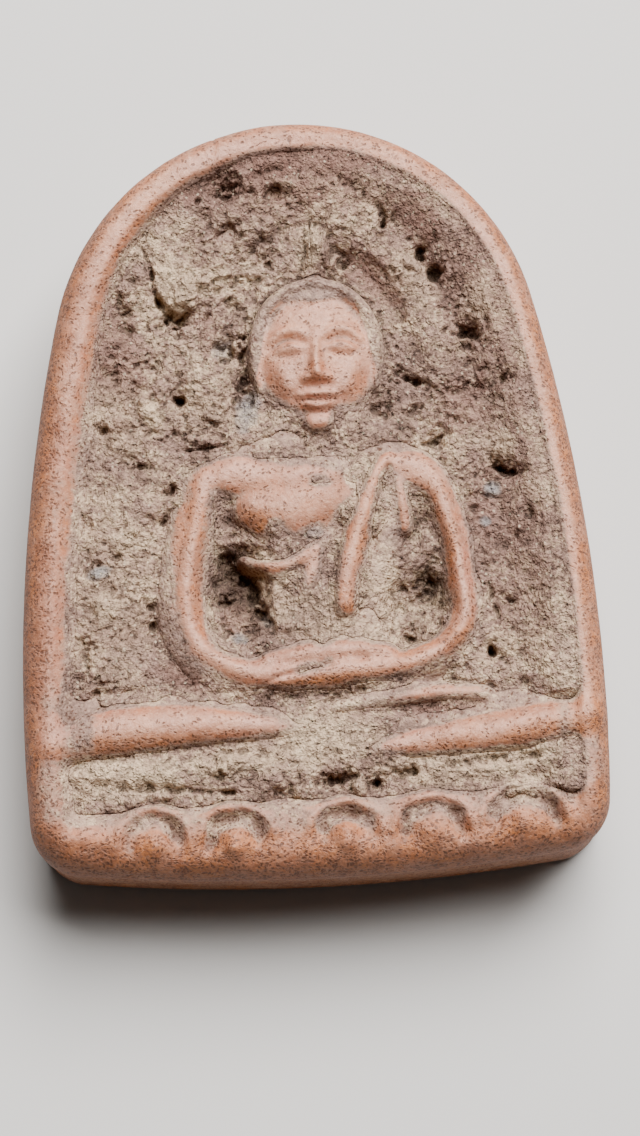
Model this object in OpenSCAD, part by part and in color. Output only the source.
// Votive amulet: an arched tablet of fired clay with a seated figure in relief,
// and the burial soil that still fills the hollows of its face.
// X runs across the tablet, Y up to the top of the arch, Z out of the face.
// The origin is the middle of the flat back.

/* [Tablet] */
// Width at the widest point
tablet_w = 22; // [21:0.2:26]
// Height from the foot to the top of the arch
tablet_h = 29.2; // [27:0.2:34]
// Radius of the arched top
arch_r = 9.4; // [8.6:0.1:10.2]
// Height of the widest point above the foot
widest_y = 6.1; // [4.5:0.1:8]
// Radius of the two foot corners
corner_r = 2; // [1.2:0.1:3]
// Radius of the bowed foot edge
foot_bow_r = 50; // [40:1:120]
// Thickness of the clay under the sunken field
field_t = 5.4; // [3:0.1:8]
// Rounding of the back edge
back_round = 0.7; // [0.3:0.1:1.2]

/* [Rim] */
// Rise of the rim above the field
rim_rise = 1.6; // [1:0.1:2.2]
// Distance from the outline in to the crest of the rim
rim_crest = 1.1; // [0.8:0.05:1.3]
// Distance from the outline in to the inner foot of the rim
rim_w = 1.8; // [1.5:0.05:2]
// Drop from the crest of the rim to the wall
edge_drop = 1.5; // [0.8:0.1:2.2]

/* [Figure] */
// Rise of the limbs above the field
limb_rise = 1.3; // [0.9:0.05:1.6]
// Width of an arm at the field
arm_w = 1.5; // [1.1:0.05:1.8]
// Width of a folded leg at the field
leg_w = 1.9; // [1.4:0.05:2.2]
// Width of the chest at the field
chest_w = 6; // [5:0.1:6.6]
// Width of the sash over the shoulder
sash_w = 1; // [0.8:0.05:1.3]
// Width of the head
head_w = 5; // [4.4:0.1:5.2]
// Height of the head from the chin to the crown
head_h = 6; // [5.4:0.1:6.2]
// Rise of the head above the field
head_rise = 1.7; // [1.2:0.05:2.2]
// Rise of the nose above the face
nose_rise = 0.3; // [0.1:0.05:0.6]

/* [Arch of light and lotus base] */
// Span of the arch of light between its crests
halo_span = 9; // [8.6:0.1:9.6]
// Height of the crest of the arch of light above the middle of the head
halo_h = 5.9; // [5.7:0.1:6.2]
// Width of the ridge of the arch of light
halo_w = 0.9; // [0.7:0.05:1.1]
// Rise of the arch of light above the field
halo_rise = 0.8; // [0.5:0.05:1.2]
// Rise of the lotus base above the field
lotus_rise = 0.9; // [0.6:0.05:1.3]
// Height of the lotus base up from the foot
lotus_h = 3.4; // [3:0.1:3.8]
// Width of the bevel at the top of the lotus base
lotus_bevel = 0.6; // [0.4:0.05:1]
// Rise of a petal above the lotus base
petal_rise = 0.35; // [0.2:0.05:0.6]
// Width of a petal
petal_w = 2; // [1.5:0.1:2.4]
// Height of the middle of the petals up from the foot
petal_y = 2.2; // [1.8:0.1:2.5]

/* [Soil] */
// Thickness of the soil that lies in the hollows
soil_t = 0.5; // [0.3:0.05:0.7]
// Clearance between the soil and the foot of the relief beside it
soil_gap = 0.45; // [0.4:0.05:0.55]
// Clearance under the soil
soil_bed = 0.08; // [0.05:0.01:0.15]
// Spacing of the lumps on top of the soil
lump_gap = 1.8; // [1:0.1:3]

/* [Hidden] */

// Cells from the middle of the field to its side and to its top, and steps round the edges
SIDE_CELLS = 23;
TOP_CELLS = 31;
EDGE_STEPS = 3;
SLOPE_STEPS = 3;
// Halvings in the search for a point of the outline
HALVINGS = 22;

// The outline is an arch, two long flanks, two corners and a bowed foot
arch_y = tablet_h / 2 - arch_r;
widest_at = -tablet_h / 2 + widest_y;
flank_drop = arch_y - widest_at;
flank_r = (flank_drop * flank_drop / (tablet_w / 2 - arch_r) + arch_r + tablet_w / 2) / 2;
flank_x = flank_r - tablet_w / 2;
foot_y = -tablet_h / 2 + foot_bow_r;

// The field is what the rim leaves
field_hw = tablet_w / 2 - rim_w;
field_hh = tablet_h / 2 - rim_w;

// Rise that counts as relief beside the soil, and the step and reach of the search for it
trace = limb_rise / 100;
search_step = soil_gap / 5;
search_reach = field_hw / 3;

// Each table below holds shares of the half width and the half height of the field,
// of the named width of its form, and of the named rise of its form.
// Columns: x, y, width, rise
LEFT_ARM = [
    [-0.27,  0.07, 1.60, 0.90],
    [-0.39,  0.04, 1.25, 0.98],
    [-0.44, -0.05, 1.00, 0.95],
    [-0.49, -0.17, 0.90, 0.92],
    [-0.51, -0.30, 0.90, 0.92],
    [-0.48, -0.40, 0.95, 0.92],
    [-0.37, -0.47, 1.10, 0.95],
    [-0.20, -0.52, 1.25, 1.00],
    [ 0.02, -0.53, 1.30, 1.00]];
RIGHT_ARM = [
    [ 0.35,  0.08, 1.40, 0.95],
    [ 0.48,  0.05, 1.25, 1.00],
    [ 0.56, -0.03, 1.05, 0.95],
    [ 0.61, -0.16, 0.90, 0.92],
    [ 0.63, -0.28, 0.88, 0.92],
    [ 0.62, -0.39, 0.92, 0.92],
    [ 0.51, -0.48, 1.05, 0.95],
    [ 0.33, -0.52, 1.20, 1.00],
    [ 0.11, -0.53, 1.30, 1.02]];
CHEST = [
    [ 0.06,  0.06, 1.20, 0.75],
    [ 0.02, -0.06, 1.00, 0.90],
    [ 0.01, -0.20, 0.68, 0.72],
    [ 0.02, -0.33, 0.56, 0.60],
    [ 0.03, -0.45, 0.60, 0.65]];
SASH = [
    [ 0.34,  0.08, 1.00, 0.96],
    [ 0.27,  0.00, 1.05, 1.06],
    [ 0.21, -0.10, 1.05, 1.08],
    [ 0.17, -0.22, 1.00, 1.02],
    [ 0.15, -0.36, 0.90, 0.90]];
LEFT_LEG = [
    [-1.04, -0.70, 0.60, 0.70],
    [-0.93, -0.68, 0.90, 0.95],
    [-0.66, -0.66, 0.95, 1.05],
    [-0.38, -0.67, 0.70, 0.95],
    [-0.16, -0.68, 0.45, 0.80],
    [ 0.06, -0.69, 0.35, 0.60]];
RIGHT_LEG = [
    [ 1.03, -0.72, 0.80, 0.75],
    [ 0.88, -0.73, 0.90, 1.00],
    [ 0.66, -0.74, 0.75, 1.00],
    [ 0.44, -0.76, 0.50, 0.85],
    [ 0.16, -0.77, 0.35, 0.60]];
SHIN = [
    [ 0.09, -0.63, 0.40, 0.70],
    [ 0.33, -0.61, 0.45, 0.80],
    [ 0.55, -0.61, 0.45, 0.80],
    [ 0.70, -0.60, 0.40, 0.70]];
// Columns as above, from the middle of the head, as shares of half the span and of the
// height of the arch of light, then of its ridge's width and of its rise
HALO = [
    [-0.99, -0.63, 0.90, 0.60],
    [-0.97, -0.26, 0.95, 0.80],
    [-0.97,  0.11, 1.00, 1.00],
    [-0.91,  0.45, 1.00, 1.00],
    [-0.70,  0.74, 1.00, 1.00],
    [-0.38,  0.93, 1.00, 1.00],
    [ 0.01,  1.00, 1.00, 1.00],
    [ 0.36,  0.85, 1.00, 1.00],
    [ 0.68,  0.58, 1.00, 1.00],
    [ 0.93,  0.24, 1.00, 1.00],
    [ 1.05, -0.17, 0.95, 0.80],
    [ 1.01, -0.61, 0.90, 0.60]];

// Middle of the head, and forms on it as shares of its half width and half height,
// then of its width and of its rise
HEAD_AT = [0.085, 0.42];
TOPKNOT = [
    [ 0.00,  0.80, 0.62, 0.86],
    [ 0.01,  1.20, 0.42, 0.74],
    [ 0.02,  1.60, 0.20, 0.58]];
NECK = [
    [ 0.00, -0.90, 0.60, 0.50],
    [ 0.00, -1.45, 0.75, 0.50]];
BROW = [
    [ 0.12,  0.12, 0.10, 1.00],
    [ 0.42,  0.20, 0.12, 0.96],
    [ 0.68,  0.08, 0.10, 0.80]];
EYE = [
    [ 0.26, -0.04, 0.14, 0.99],
    [ 0.54, -0.04, 0.14, 0.92]];
MOUTH = [
    [-0.26, -0.56, 0.10, 0.92],
    [ 0.00, -0.58, 0.14, 1.02],
    [ 0.26, -0.56, 0.10, 0.92]];
// Columns: x, y, width; its rise is the head's and the nose's
NOSE = [
    [ 0.00,  0.14, 0.12],
    [ 0.00, -0.34, 0.22]];

// Middles of the petals as shares of the half width of the field
PETALS = [-0.68, -0.34, 0.08, 0.44, 0.80];
// Rise to the right of the upper edge of the lotus base
LOTUS_TILT = 0.02;

// Guide lines of the strips of soil, as shares of the field. Columns: x, y
FIELD_SOIL_LINE = [
    [-0.80, -0.50], [-0.79, -0.30], [-0.78, -0.10], [-0.74,  0.08], [-0.69,  0.26],
    [-0.65,  0.44], [-0.58,  0.62], [-0.45,  0.80], [-0.24,  0.92], [ 0.04,  0.96],
    [ 0.32,  0.92], [ 0.54,  0.79], [ 0.69,  0.61], [ 0.77,  0.42], [ 0.80,  0.24],
    [ 0.82,  0.06], [ 0.84, -0.12], [ 0.84, -0.31], [ 0.85, -0.51]];
// The next two are shares of the arch of light
LEFT_HALO_LINE = [
    [-0.75, -0.43], [-0.73, -0.22], [-0.72,  0.04], [-0.66,  0.30], [-0.53,  0.54]];
RIGHT_HALO_LINE = [
    [ 0.37,  0.60], [ 0.50,  0.48], [ 0.63,  0.28], [ 0.73,  0.02], [ 0.76, -0.20],
    [ 0.76, -0.41]];
LAP_LINE = [
    [-0.92, -0.80], [-0.60, -0.80], [-0.30, -0.79], [ 0.00, -0.80]];
LEFT_PIT_LINE = [
    [-0.33, -0.14], [-0.33, -0.26], [-0.32, -0.38]];
RIGHT_PIT_LINE = [
    [ 0.37, -0.12], [ 0.40, -0.26], [ 0.40, -0.38]];

// Distance of p from the outline, inwards
function inset(p) =
    let (x = abs(p.x),
         above = (p.y - widest_at) * flank_x > (x + flank_x) * flank_drop,
         side = above ? arch_r - norm([x, p.y - arch_y])
                      : flank_r - norm([x + flank_x, p.y - widest_at]),
         foot = foot_bow_r - norm([x, p.y - foot_y]))
    side < corner_r && foot < corner_r
        ? corner_r - norm([corner_r - side, corner_r - foot])
        : min(side, foot);

// Point where the ray from the origin along u lies d inside the outline
function inset_point(u, d, low = 0, high = 2 * tablet_h, left = HALVINGS) =
    let (mid = (low + high) / 2)
    left == 0 ? mid * u
    : inset(mid * u) > d ? inset_point(u, d, mid, high, left - 1)
                         : inset_point(u, d, low, mid, left - 1);

// Falls from 1 to 0 as t goes from 0 to 1
function fall(t) = (1 + cos(180 * max(0, min(1, t)))) / 2;

// Rounded section of a form: its height at the share r of its half width
function swell(r, top) = r >= 1 ? 0 : top * (1 - r * r);

// One stretch of a form between rows a and b of x, y, half width and rise
function stretch(p, a, b) =
    let (run = [b.x - a.x, b.y - a.y],
         t = max(0, min(1, ((p - [a.x, a.y]) * run) / (run * run))),
         at = a + t * (b - a))
    swell(norm(p - [at.x, at.y]) / at[2], at[3]);

function form(p, rows) =
    max([for (i = [1 : len(rows) - 1]) stretch(p, rows[i - 1], rows[i])]);

// Places from shares of the field, of the arch of light and of the head
head_mid = [HEAD_AT.x * field_hw, HEAD_AT.y * field_hh];
function by_field(r) = [r.x * field_hw, r.y * field_hh];
function by_halo(r) = head_mid + [r.x * halo_span / 2, r.y * halo_h];
function by_head(r) = head_mid + [r.x * head_w / 2, r.y * head_h / 2];

// Rows of shares turned into lengths, for a form on the field
function limb(rows, w, rise) =
    [for (r = rows) let (at = by_field(r)) [at.x, at.y, r[2] * w / 2, r[3] * rise]];

// The same for a form on the head, which side -1 mirrors
function on_head(rows, side = 1) =
    [for (r = rows) let (at = by_head([side * r.x, r.y]))
        [at.x, at.y, r[2] * head_w / 2, r[3] * head_rise]];

FORMS = [
    limb(LEFT_ARM, arm_w, limb_rise),
    limb(RIGHT_ARM, arm_w, limb_rise),
    limb(CHEST, chest_w, limb_rise),
    limb(SASH, sash_w, limb_rise),
    limb(LEFT_LEG, leg_w, limb_rise),
    limb(RIGHT_LEG, leg_w, limb_rise),
    limb(SHIN, leg_w, limb_rise),
    [for (r = HALO) let (at = by_halo(r)) [at.x, at.y, r[2] * halo_w / 2, r[3] * halo_rise]],
    on_head(TOPKNOT),
    on_head(NECK),
    on_head(BROW, -1),
    on_head(BROW, 1),
    on_head(EYE, -1),
    on_head(EYE, 1),
    on_head(MOUTH),
    [for (r = NOSE) let (at = by_head(r))
        [at.x, at.y, r[2] * head_w / 2, head_rise + nose_rise]]];

// The head is an oval dome
function head(p) =
    swell(norm([(p.x - head_mid.x) / (head_w / 2), (p.y - head_mid.y) / (head_h / 2)]), head_rise);

// Rise of the lotus base, which has no rim along the foot
function lotus_edge(x) = -tablet_h / 2 + lotus_h + LOTUS_TILT * x;
function lotus(p) = lotus_rise * fall((p.y - lotus_edge(p.x)) / lotus_bevel + 0.5);
// The petals are round bosses on the lotus base
function petal(p) =
    max([for (x = PETALS)
        let (r = norm([p.x - x * field_hw, p.y + tablet_h / 2 - petal_y]) / (petal_w / 2))
        r < 1 ? lotus_rise + swell(r, petal_rise) : 0]);
// Rise of the rim d inside the outline, lower beside the lotus base
function rim(p, d) =
    let (beside_lotus = fall((lotus_edge(p.x) - p.y) / lotus_h))
    rim_rise * beside_lotus * fall((d - rim_crest) / (rim_w - rim_crest));

// Rise of the face above the field: a soft union of all forms, exactly 0 where none rises
function relief(p, d) =
    let (cubes = [for (v = concat([for (rows = FORMS) form(p, rows)],
                                  [head(p), lotus(p), petal(p), rim(p, d)])) v * v * v])
    pow(cubes * cubes, 1 / 6);

// Height of the face, which rounds over into the wall within rim_crest of the outline
function face_z(p) =
    let (d = inset(p), t = max(0, 1 - d / rim_crest))
    field_t + relief(p, max(d, rim_crest)) - edge_drop * (1 - sqrt(max(0, 1 - t * t)));

// Direction of the grid point i, j from the middle
function ray(i, j) =
    let (u = [i / SIDE_CELLS * field_hw, j / TOP_CELLS * field_hh])
    u / norm(u);

// Points along the edge of the grid in order, anticlockwise from its lower left corner
EDGE_CELLS = concat(
    [for (i = [-SIDE_CELLS : SIDE_CELLS - 1]) [i, -TOP_CELLS]],
    [for (j = [-TOP_CELLS : TOP_CELLS - 1]) [SIDE_CELLS, j]],
    [for (i = [SIDE_CELLS : -1 : 1 - SIDE_CELLS]) [i, TOP_CELLS]],
    [for (j = [TOP_CELLS : -1 : 1 - TOP_CELLS]) [-SIDE_CELLS, j]]);

module clay_tablet() {
    across = 2 * SIDE_CELLS + 1;
    around = len(EDGE_CELLS);
    rays = [for (c = EDGE_CELLS) ray(c.x, c.y)];
    // Rings from the back edge up the wall: inset from the outline, and height
    wall = [for (i = [0 : EDGE_STEPS])
        let (a = 90 * i / EDGE_STEPS) back_round * [1 - sin(a), 1 - cos(a)]];
    wall_rings = [for (w = wall) for (u = rays)
        let (p = inset_point(u, w[0])) [p.x, p.y, w[1]]];
    // Rings over the rounded edge and down the inner slope of the rim
    insets = concat(
        [for (i = [0 : EDGE_STEPS]) rim_crest * (1 - cos(90 * i / EDGE_STEPS))],
        [for (i = [1 : SLOPE_STEPS - 1]) rim_crest + (rim_w - rim_crest) * i / SLOPE_STEPS]);
    face_rings = [for (d = insets) for (u = rays)
        let (p = inset_point(u, d)) [p.x, p.y, face_z(p)]];
    // Grid of the field, squeezed from a square onto the shape inside the rim
    grid = [for (j = [-TOP_CELLS : TOP_CELLS]) for (i = [-SIDE_CELLS : SIDE_CELLS])
        let (share = max(abs(i) / SIDE_CELLS, abs(j) / TOP_CELLS),
             p = share == 0 ? [0, 0] : share * inset_point(ray(i, j), rim_w))
        [p.x, p.y, face_z(p)]];
    rings = len(wall) + len(insets);
    first = rings * around;
    function grid_at(i, j) = (j + TOP_CELLS) * across + i + SIDE_CELLS;
    function ring_at(r, k) =
        let (c = EDGE_CELLS[k % around])
        r < rings ? r * around + k % around : first + grid_at(c.x, c.y);
    bands = [for (r = [0 : rings - 1]) for (k = [0 : around - 1])
        let (a = ring_at(r, k), b = ring_at(r, k + 1), c = ring_at(r + 1, k + 1), d = ring_at(r + 1, k))
        each [[a, c, b], [a, d, c]]];
    // Each cell is split along its more level diagonal, so that the folds follow the relief
    cells = [for (j = [-TOP_CELLS : TOP_CELLS - 1]) for (i = [-SIDE_CELLS : SIDE_CELLS - 1])
        let (a = grid_at(i, j), b = grid_at(i + 1, j), c = grid_at(i + 1, j + 1), d = grid_at(i, j + 1),
             level = abs(grid[a].z - grid[c].z) <= abs(grid[b].z - grid[d].z),
             q = first * [1, 1, 1])
        each (level ? [q + [a, c, b], q + [a, d, c]] : [q + [a, d, b], q + [b, d, c]])];
    back = [[for (k = [0 : around - 1]) k]];
    color([0.75, 0.47, 0.36])
        polyhedron(concat(wall_rings, face_rings, grid), concat(back, bands, cells), 4);
}

// Smooth curve through a list of points, at the share t of its length in points
function curve_at(line, t) =
    let (last = len(line) - 1,
         i = min(floor(t * last), last - 1),
         s = t * last - i,
         a = line[max(i - 1, 0)], b = line[i], c = line[i + 1], d = line[min(i + 2, last)])
    0.5 * (2 * b + s * (c - a) + s * s * (2 * a - 5 * b + 4 * c - d)
           + s * s * s * (3 * b - a - 3 * c + d));

// Distance from p along u to where the relief starts to rise, less the clearance
function spread(p, u, t = 0) =
    let (q = p + t * u)
    t > search_reach || relief(q, max(inset(q), rim_crest)) > trace
        ? max(t - soil_gap, search_step)
        : spread(p, u, t + search_step);

// Uneven top of the soil, between 0 and 1: two crossing waves
function lumps(p) =
    let (q = 180 / lump_gap * p)
    (2 + sin(q.x + 0.6 * q.y) + sin(1.4 * q.y - 0.9 * q.x)) / 4;

// A strip of soil: its route is followed in steps, and it spreads to both sides
module soil(route, steps, across) {
    rows = [for (i = [0 : steps])
        let (p = curve_at(route, i / steps),
             run = curve_at(route, min(1, (i + 0.5) / steps)) - curve_at(route, max(0, (i - 0.5) / steps)),
             side = [-run.y, run.x] / norm(run))
        [p + spread(p, side) * side, p - spread(p, -side) * side]];
    bottom = field_t + soil_bed;
    plan = [for (r = rows) for (k = [0 : across]) r[0] + (r[1] - r[0]) * k / across];
    low = [for (p = plan) [p.x, p.y, bottom]];
    top = [for (p = plan) [p.x, p.y, bottom + soil_t * (0.7 + 0.3 * lumps(p))]];
    count = len(plan);
    wide = across + 1;
    quads = [for (i = [0 : steps - 1]) for (k = [0 : across - 1])
        let (a = i * wide + k) [a, a + 1, a + wide + 1, a + wide]];
    edge = concat(
        [for (i = [0 : steps - 1]) [i * wide, (i + 1) * wide]],
        [for (k = [0 : across - 1]) [steps * wide + k, steps * wide + k + 1]],
        [for (i = [steps : -1 : 1]) [i * wide + across, (i - 1) * wide + across]],
        [for (k = [across : -1 : 1]) [k, k - 1]]);
    color([0.59, 0.49, 0.41])
        polyhedron(concat(low, top), concat(
            [for (q = quads) each [[q[0], q[1], q[2]], [q[0], q[2], q[3]]]],
            [for (q = quads) each [[q[0] + count, q[2] + count, q[1] + count],
                                   [q[0] + count, q[3] + count, q[2] + count]]],
            [for (e = edge) each [[e[0], e[1], e[1] + count], [e[0], e[1] + count, e[0] + count]]]), 4);
}

module field_soil() { soil([for (v = FIELD_SOIL_LINE) by_field(v)], steps = 84, across = 4); }
module left_halo_soil() { soil([for (v = LEFT_HALO_LINE) by_halo(v)], steps = 14, across = 2); }
module right_halo_soil() { soil([for (v = RIGHT_HALO_LINE) by_halo(v)], steps = 14, across = 2); }
module lap_soil() { soil([for (v = LAP_LINE) by_field(v)], steps = 22, across = 2); }
module left_pit_soil() { soil([for (v = LEFT_PIT_LINE) by_field(v)], steps = 9, across = 3); }
module right_pit_soil() { soil([for (v = RIGHT_PIT_LINE) by_field(v)], steps = 9, across = 3); }

clay_tablet();
field_soil();
left_halo_soil();
right_halo_soil();
lap_soil();
left_pit_soil();
right_pit_soil();
